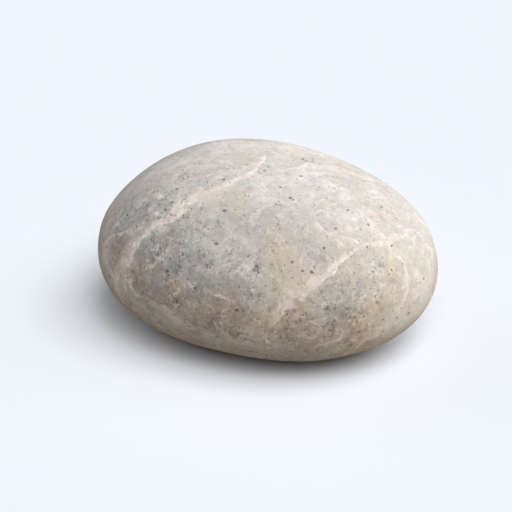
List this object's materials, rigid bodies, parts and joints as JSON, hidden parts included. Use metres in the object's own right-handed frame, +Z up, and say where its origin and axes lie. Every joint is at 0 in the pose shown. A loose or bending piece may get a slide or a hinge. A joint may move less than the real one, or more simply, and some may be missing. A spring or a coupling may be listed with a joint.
{
  "type": "river pebble",
  "caption": "Smooth oval river pebble, one solid water-worn stone, slightly narrower at one end and flattened underneath so that it lies level.",
  "frame": {"origin": "middle of the stone's bounding box in X and Y, at the height of the worn base that it rests on", "axes": "+Z up; X along the stone's longest extent, with the narrower end at +X; Y along its intermediate extent"},
  "size_m": [0.08, 0.0632, 0.0433],
  "materials": {
    "stone": "matte water-worn stone, warm light grey with blue-grey clouds, cream veins and fine dark flecks"
  },
  "bodies": {
    "root": {"pebble": "stone"}
  },
  "joints": []
}
